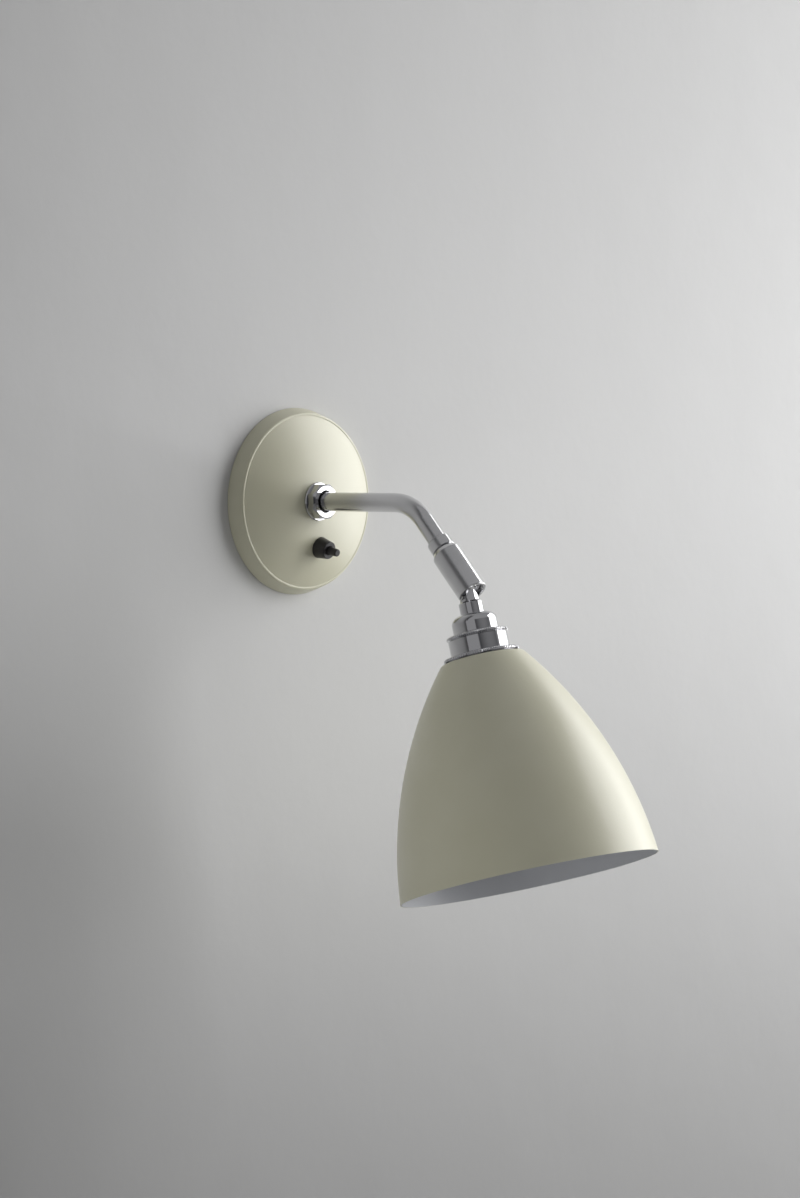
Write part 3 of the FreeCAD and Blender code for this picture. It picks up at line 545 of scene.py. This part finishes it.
# %% The ring on the shade
shade_nut = knurled_ring("knurled_shade_ring", bore_r=0.01846, outer_r=0.0233,
                         low=0.0446, high=0.0472, teeth=92, neck=0.0005)
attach(shade_nut, "head")
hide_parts("shade_ring")

# %% [markdown]
# ## The wall and the floor
# The lamp hangs on a painted plaster wall, and much of what the chrome mirrors is that wall, so
# the wall is part of the picture but not of the lamp. A plain backdrop would do for the picture,
# but then no wire could come through it. So it is a plane just behind the plate with a round hole.
# Shade is painted into its colour: it is darker towards the foot, the top and the left, standing in
# for the light that falls off there in the room. The floor lies far below. Both are clear when they
# are seen from their backs, so that the lamp can be looked at from behind and from below.

# %% Plaster
PAINT, PAINT_PALE, PAINTED_SHADE_COLOUR = (0.70, 0.70, 0.70), (0.735, 0.735, 0.73), (0.15, 0.148, 0.148)
# between which places the painted shade deepens, in metres, and how strong it is
FOOT, FOOT_PAINTED_SHADE = (-0.62, 0.02), 0.60
TOP, TOP_PAINTED_SHADE = (0.0, 0.6), 0.27
LEFT, LEFT_PAINTED_SHADE = (-1.3, 0.05), 0.70
CLOUD_SCALE, TROWEL_SCALE, ROLLER_SCALE = 1.3, 9.0, 160.0
PLASTER_DEPTH = 0.00022


def clear_from_behind(finish):
    """Mix in a clear shader that only the back of the faces shows."""
    clear = finish.tree.nodes.new("ShaderNodeBsdfTransparent")
    mixed = finish.tree.nodes.new("ShaderNodeMixShader")
    plug(finish.tree, finish.place.node("NewGeometry", out="Backfacing"), mixed.inputs[0])
    finish.tree.links.new(finish.shader.outputs[0], mixed.inputs[1])
    finish.tree.links.new(clear.outputs[0], mixed.inputs[2])
    finish.tree.links.new(mixed.outputs[0], finish.output.inputs[0])


def plaster_paint_and_shade():
    finish = Finish("stage_plaster")
    cloud = finish.place.noise(CLOUD_SCALE, 3.0)
    roller = finish.place.noise(ROLLER_SCALE, 3.0, 0.6)
    trowel = finish.place.noise(TROWEL_SCALE, 4.0, 0.55)
    finish.bump(roller * 0.3 + trowel * 5.0, PLASTER_DEPTH)
    paint = cloud.between(PAINT, PAINT_PALE)
    # Painted shade: the colour is darkened towards the foot, the top and the left, standing in for
    # the light that falls off there in the room.
    below = 1 - finish.place.axis(2).step(*FOOT)
    above = finish.place.axis(2).step(*TOP)
    left = 1 - finish.place.axis(0).step(*LEFT)
    dim = FOOT_PAINTED_SHADE * below + TOP_PAINTED_SHADE * above + LEFT_PAINTED_SHADE * left
    finish.set(Base_Color=dim.between(paint, PAINTED_SHADE_COLOUR), Roughness=0.62 + 0.1 * roller)
    clear_from_behind(finish)
    return finish.material


print("plaster", PAINT, "and darker", PAINTED_SHADE_COLOUR)

# %% The wall
WALL_GAP, WALL_HALF, WIRE_HOLE_R = 0.0004, 6.0, 0.056


def add_wall():
    """A square plane with a round hole in the middle, facing the room."""
    bpy.ops.object.select_all(action="DESELECT")
    bpy.ops.mesh.primitive_circle_add(vertices=96, radius=WIRE_HOLE_R, fill_type="NOTHING",
                                      location=(0, WALL_GAP, 0), rotation=(pi / 2, 0, 0))
    wall = start_piece("wall")
    bpy.ops.mesh.select_all(action="SELECT")
    bpy.ops.mesh.extrude_region_move()
    grow = WALL_HALF / WIRE_HOLE_R
    bpy.ops.transform.resize(value=(grow, grow, grow), center_override=(0, WALL_GAP, 0))
    bpy.ops.mesh.select_all(action="SELECT")
    bpy.ops.mesh.normals_make_consistent(inside=False)
    bpy.ops.object.mode_set(mode="OBJECT")
    bpy.ops.object.transform_apply(location=True, rotation=True, scale=True)
    if wall.data.polygons[0].normal.y > 0:
        wall.data.flip_normals()
    wall.data.materials.append(plaster_paint_and_shade())
    print("wall faces the room:", wall.data.polygons[0].normal.y < 0)


add_wall()

# %% The floor
FLOOR_DROP = 1.25
BOARD, BOARD_PALE = (0.40, 0.40, 0.39), (0.44, 0.44, 0.43)


def add_floor():
    """A plain plane far below, whose paint is a little uneven."""
    finish = Finish("stage_floor")
    finish.set(Base_Color=finish.place.noise(2.0, 3.0).between(BOARD, BOARD_PALE), Roughness=0.7)
    clear_from_behind(finish)
    bpy.ops.object.select_all(action="DESELECT")
    bpy.ops.mesh.primitive_plane_add(size=2 * WALL_HALF, location=(0, 0, -FLOOR_DROP))
    floor = bpy.context.object
    floor.name = "floor"
    bpy.ops.object.transform_apply(location=True, rotation=True, scale=True)
    floor.data.materials.append(finish.material)
    print("floor at", -FLOOR_DROP, "m")


add_floor()

# %% [markdown]
# ## The light
# A tall soft window to the right, close to the wall, does nearly all the work: it rakes over the
# plate, leaves a soft shadow on the plate's left, and is the white band at the right edge of all
# that is chromed. A small card to the left of the shade lifts only the shade's dark side, as a
# photographer would do it. A lamp behind the wall is there for views from the back. More lamps
# would each put one more bright patch into the chrome, so these two are kept out of mirrors.

# %% Lamps
LAMP_MIDDLE, SHADE_MIDDLE = Vector((0, -0.12, -0.08)), Vector((0, -0.20, -0.17))


def soft_lamp(name, azimuth, elevation, distance, size, watts, aim=LAMP_MIDDLE):
    """A rectangle of light that stands in this direction from what it is aimed at."""
    light = bpy.data.lights.new(name, "AREA")
    light.shape = "RECTANGLE"
    light.size, light.size_y = size
    light.energy = watts
    holder = bpy.data.objects.new(name, light)
    bpy.context.scene.collection.objects.link(holder)
    turn = facing(azimuth, elevation)
    holder.matrix_world = Matrix.Translation(aim + turn @ Vector((0, 0, distance))) @ turn
    holder.visible_camera = False
    print(name, [round(v, 2) for v in holder.matrix_world.translation])
    return holder


soft_lamp("window", azimuth=66.0, elevation=13.0, distance=2.2, size=(2.0, 2.4), watts=68.0)
pale_card = soft_lamp("pale_card", azimuth=-80.0, elevation=-10.0, distance=0.8,
                      size=(0.3, 0.3), watts=0.11, aim=SHADE_MIDDLE)
pale_card.data.spread = radians(50)
behind = soft_lamp("behind", azimuth=180.0, elevation=10.0, distance=1.6, size=(1.2, 1.2),
                   watts=12.0)
for quiet in (pale_card, behind):
    quiet.visible_glossy = False

# %% [markdown]
# ## The room around
# The rest of what chrome shows is the room: grey to the left and overhead, and dark in the part
# behind the camera, which gives the chrome its dark band. A picture of a room could be wrapped
# round the scene, but a few bands by direction do it with sums. The world is plain and dim for the
# light that it gives, and shows the room only to rays that look at it straight, in a mirror or
# through glass.

# %% Bands of a room
DIM_LEVEL, DIM_OVERHEAD = (0.045, 0.046, 0.049), (0.32, 0.32, 0.325)
ROOM_GREY, ROOM_PALE, ROOM_DARK = (0.35, 0.35, 0.355), (0.62, 0.62, 0.62), (0.045, 0.046, 0.05)


def band(wire, low, high, soft):
    """1 between low and high, 0 outside, with soft edges."""
    return wire.step(low - soft, low + soft) * (1 - wire.step(high - soft, high + soft))


def dark_parts(x, y, z):
    """1 where the room is dark: behind the camera, over the window, and a gap at the left."""
    azimuth = x.maths("ARCTAN2", x, -1 * y)
    behind_camera = band(azimuth, radians(-46), radians(33), radians(3)) * (1 - z.step(0.30, 0.48))
    over_window = x.step(0.66, 0.70) * z.step(0.48, 0.52) * (1 - z.step(0.74, 0.80))
    left_gap = band(y, -0.10, 0.0, 0.01) * (1 - x.step(-0.4, -0.3)) * z.step(0.25, 0.35)
    either = over_window.maths("MAXIMUM", over_window, left_gap)
    return behind_camera.maths("MAXIMUM", behind_camera, either)


print("the room's dark parts are", ROOM_DARK)

# %% The world
def surroundings():
    """A dim room for the light, and the room itself for what sees or mirrors it."""
    world = bpy.data.worlds.new("room")
    bpy.context.scene.world = world
    world.use_nodes = True
    tree = world.node_tree
    tree.nodes.clear()
    start = Wire(tree, None)
    seen = start.node("LightPath", out="Is Camera Ray")
    for kind in ("Is Glossy Ray", "Is Transmission Ray"):
        seen = seen.maths("MAXIMUM", seen, start.node("LightPath", out=kind))
    direction = start.node("TexCoord", out="Generated")
    x, y, z = (direction.axis(number) for number in range(3))
    room = y.step(0.0, 0.3).between(ROOM_GREY, ROOM_PALE)
    room = dark_parts(x, y, z).between(room, ROOM_DARK)
    dim = z.step(0.0, 1.0).between(DIM_LEVEL, DIM_OVERHEAD)
    background = tree.nodes.new("ShaderNodeBackground")
    output = tree.nodes.new("ShaderNodeOutputWorld")
    plug(tree, seen.between(dim, room), background.inputs[0])
    tree.links.new(background.outputs[0], output.inputs[0])


surroundings()
bpy.context.scene.view_settings.view_transform = "Standard"
print("lamps:", len(bpy.data.lights), "materials:", len(FINISHES))

# %% [markdown]
# ## The last step
# The scene is brought up to date, so that every piece stands where it was placed.

# %% Bring the scene up to date
bpy.context.view_layer.update()
